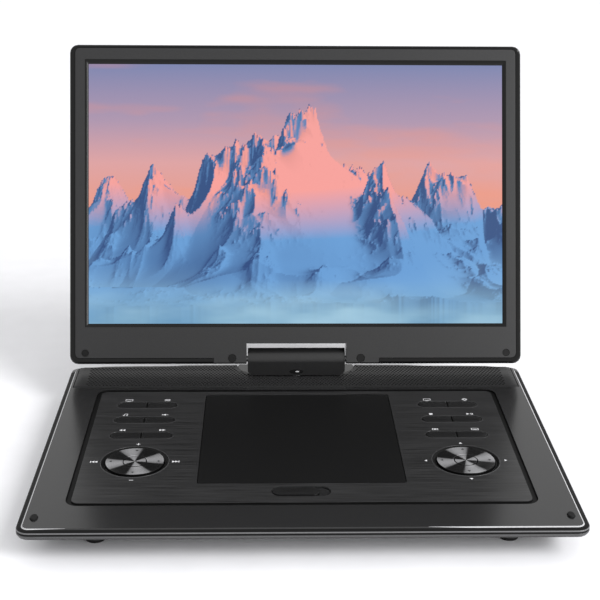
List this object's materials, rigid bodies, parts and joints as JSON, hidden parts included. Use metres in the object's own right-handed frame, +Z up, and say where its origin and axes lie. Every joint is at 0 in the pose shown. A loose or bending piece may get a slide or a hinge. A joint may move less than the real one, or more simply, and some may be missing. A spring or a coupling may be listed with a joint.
{
  "type": "portable dvd player",
  "caption": "Portable disc player: a wide base with a lift-up disc door, keys and round pads, and a 16:10 screen in a lid that tilts and swivels on a central hinge.",
  "frame": {"origin": "middle of the object's footprint, on the surface its feet stand on", "axes": "+X to the user's right along the width, +Y to the rear, +Z up"},
  "size_m": [0.334, 0.3174, 0.2528],
  "materials": {
    "shell": "satin black moulded plastic, glossier on the lid's rounded rim",
    "deck": "satin dark grey paint on moulded plastic",
    "panel": "dark overlay with a brushed look along X",
    "grille": "satin black, finely perforated",
    "door": "fine matte near-black",
    "key": "semi-gloss black",
    "dial": "spun metal look with bright wedges",
    "rubber": "matte black rubber",
    "bezel": "matte dark grey with a fine texture",
    "screen": "lit display surface, opaque",
    "board": "green solder mask",
    "steel": "plain steel",
    "cell": "wrapped battery pack",
    "loader": "matte black moulding",
    "nylon": "natural white nylon"
  },
  "bodies": {
    "base": {"base_bottom_shell": "shell", "base_top_deck": "deck", "control_panel": "panel", "speaker_grille": "grille", "speaker_left": "loader", "speaker_right": "loader", "main_board": "board", "button_board_left": "board", "button_board_right": "board", "battery_pack": "cell", "disc_well": "loader", "loader_chassis": "steel", "spindle_motor": "steel", "guide_rod_left": "steel", "guide_rod_right": "steel", "sled_motor": "steel", "foot_front_left": "rubber", "foot_front_right": "rubber", "foot_rear_left": "rubber", "foot_rear_right": "rubber", "lid_bumper_left": "rubber", "lid_bumper_right": "rubber", "dc_inlet": "loader", "av_socket_block": "loader"},
    "swivel": {"hinge_block": "shell", "swivel_shaft": "steel"},
    "lid": {"lid_rear_cover": "shell", "lid_bezel": "bezel", "lcd_panel": "screen", "lcd_driver_board": "board", "hinge_leaf_left": "steel", "hinge_leaf_right": "steel", "bezel_plug_1": "rubber", "bezel_plug_2": "rubber", "bezel_plug_3": "rubber", "bezel_plug_4": "rubber"},
    "door": {"disc_door": "door"},
    "latch": {"latch_slider": "key"},
    "spindle": {"spindle_hub": "nylon"},
    "sled": {"pickup_sled": "loader"},
    "feed_screw": {"lead_screw": "steel"},
    "switch_knob": {"power_switch": "key"},
    "pivot_left": {"pad_pivot_left": "nylon"},
    "pivot_right": {"pad_pivot_right": "nylon"},
    "dial_left": {"nav_ring_left": "dial"},
    "dial_right": {"nav_ring_right": "dial"},
    "centre_left": {"ok_button_left": "dial"},
    "centre_right": {"ok_button_right": "dial"},
    "key_left_1a_cap": {"key_left_1a": "key"},
    "key_left_1b_cap": {"key_left_1b": "key"},
    "key_left_2a_cap": {"key_left_2a": "key"},
    "key_left_2b_cap": {"key_left_2b": "key"},
    "key_left_3a_cap": {"key_left_3a": "key"},
    "key_left_3b_cap": {"key_left_3b": "key"},
    "key_right_1a_cap": {"key_right_1a": "key"},
    "key_right_1b_cap": {"key_right_1b": "key"},
    "key_right_2a_cap": {"key_right_2a": "key"},
    "key_right_2b_cap": {"key_right_2b": "key"},
    "key_right_3a_cap": {"key_right_3a": "key"},
    "key_right_3b_cap": {"key_right_3b": "key"}
  },
  "joints": [
    {"name": "swivel_turn", "type": "hinge", "parent": "base", "child": "swivel", "pos_m": [0, 0.07357, 0.0336], "axis": [0, 0, 1], "range_deg": [-180, 0]},
    {"name": "lid_tilt", "type": "hinge", "parent": "swivel", "child": "lid", "pos_m": [0, 0.07357, 0.0336], "axis": [-1, 0, 0], "range_deg": [-110, 70]},
    {"name": "disc_door_open", "type": "hinge", "parent": "base", "child": "door", "pos_m": [0, 0.03157, 0.0195], "axis": [-1, 0, 0], "range_deg": [0, 70]},
    {"name": "door_latch_slide", "type": "slide", "parent": "base", "child": "latch", "axis": [1, 0, 0], "range_m": [0, 0.006], "stiffness_N_per_m": 120, "springref_m": -0.003},
    {"name": "key_left_1a_press", "type": "slide", "parent": "base", "child": "key_left_1a_cap", "axis": [0, 0, -1], "range_m": [0, 0.0008], "stiffness_N_per_m": 600, "springref_m": -0.0005},
    {"name": "key_left_1b_press", "type": "slide", "parent": "base", "child": "key_left_1b_cap", "axis": [0, 0, -1], "range_m": [0, 0.0008], "stiffness_N_per_m": 600, "springref_m": -0.0005},
    {"name": "key_left_2a_press", "type": "slide", "parent": "base", "child": "key_left_2a_cap", "axis": [0, 0, -1], "range_m": [0, 0.0008], "stiffness_N_per_m": 600, "springref_m": -0.0005},
    {"name": "key_left_2b_press", "type": "slide", "parent": "base", "child": "key_left_2b_cap", "axis": [0, 0, -1], "range_m": [0, 0.0008], "stiffness_N_per_m": 600, "springref_m": -0.0005},
    {"name": "key_left_3a_press", "type": "slide", "parent": "base", "child": "key_left_3a_cap", "axis": [0, 0, -1], "range_m": [0, 0.0008], "stiffness_N_per_m": 600, "springref_m": -0.0005},
    {"name": "key_left_3b_press", "type": "slide", "parent": "base", "child": "key_left_3b_cap", "axis": [0, 0, -1], "range_m": [0, 0.0008], "stiffness_N_per_m": 600, "springref_m": -0.0005},
    {"name": "key_right_1a_press", "type": "slide", "parent": "base", "child": "key_right_1a_cap", "axis": [0, 0, -1], "range_m": [0, 0.0008], "stiffness_N_per_m": 600, "springref_m": -0.0005},
    {"name": "key_right_1b_press", "type": "slide", "parent": "base", "child": "key_right_1b_cap", "axis": [0, 0, -1], "range_m": [0, 0.0008], "stiffness_N_per_m": 600, "springref_m": -0.0005},
    {"name": "key_right_2a_press", "type": "slide", "parent": "base", "child": "key_right_2a_cap", "axis": [0, 0, -1], "range_m": [0, 0.0008], "stiffness_N_per_m": 600, "springref_m": -0.0005},
    {"name": "key_right_2b_press", "type": "slide", "parent": "base", "child": "key_right_2b_cap", "axis": [0, 0, -1], "range_m": [0, 0.0008], "stiffness_N_per_m": 600, "springref_m": -0.0005},
    {"name": "key_right_3a_press", "type": "slide", "parent": "base", "child": "key_right_3a_cap", "axis": [0, 0, -1], "range_m": [0, 0.0008], "stiffness_N_per_m": 600, "springref_m": -0.0005},
    {"name": "key_right_3b_press", "type": "slide", "parent": "base", "child": "key_right_3b_cap", "axis": [0, 0, -1], "range_m": [0, 0.0008], "stiffness_N_per_m": 600, "springref_m": -0.0005},
    {"name": "nav_left_tilt_x", "type": "hinge", "parent": "base", "child": "pivot_left", "pos_m": [-0.1059, -0.07053, 0.0173], "axis": [1, 0, 0], "range_deg": [-1.5, 1.5], "stiffness_Nm_per_rad": 1.5},
    {"name": "nav_left_tilt_y", "type": "hinge", "parent": "pivot_left", "child": "dial_left", "pos_m": [-0.1059, -0.07053, 0.0173], "axis": [0, 1, 0], "range_deg": [-1.5, 1.5], "stiffness_Nm_per_rad": 1.5},
    {"name": "ok_left_press", "type": "slide", "parent": "base", "child": "centre_left", "axis": [0, 0, -1], "range_m": [0, 0.0008], "stiffness_N_per_m": 600, "springref_m": -0.0005},
    {"name": "nav_right_tilt_x", "type": "hinge", "parent": "base", "child": "pivot_right", "pos_m": [0.1059, -0.07053, 0.0173], "axis": [1, 0, 0], "range_deg": [-1.5, 1.5], "stiffness_Nm_per_rad": 1.5},
    {"name": "nav_right_tilt_y", "type": "hinge", "parent": "pivot_right", "child": "dial_right", "pos_m": [0.1059, -0.07053, 0.0173], "axis": [0, 1, 0], "range_deg": [-1.5, 1.5], "stiffness_Nm_per_rad": 1.5},
    {"name": "ok_right_press", "type": "slide", "parent": "base", "child": "centre_right", "axis": [0, 0, -1], "range_m": [0, 0.0008], "stiffness_N_per_m": 600, "springref_m": -0.0005},
    {"name": "spindle_spin", "type": "hinge", "parent": "base", "child": "spindle", "pos_m": [0, -0.03313, 0.0154], "axis": [0, 0, 1], "continuous": true},
    {"name": "sled_travel", "type": "slide", "parent": "base", "child": "sled", "axis": [0, 1, 0], "range_m": [-0.021, 0.011]},
    {"name": "feed_screw_turn", "type": "hinge", "parent": "base", "child": "feed_screw", "pos_m": [0.026, -0.06643, 0.0096], "axis": [0, 1, 0], "range_deg": [-2530, 1330]},
    {"name": "power_switch_slide", "type": "slide", "parent": "base", "child": "switch_knob", "axis": [0, 1, 0], "range_m": [0, 0.004]}
  ],
  "couplings": [
    {"joint": "feed_screw_turn", "follows": "sled_travel", "rad_per_m": 2094.4}
  ]
}
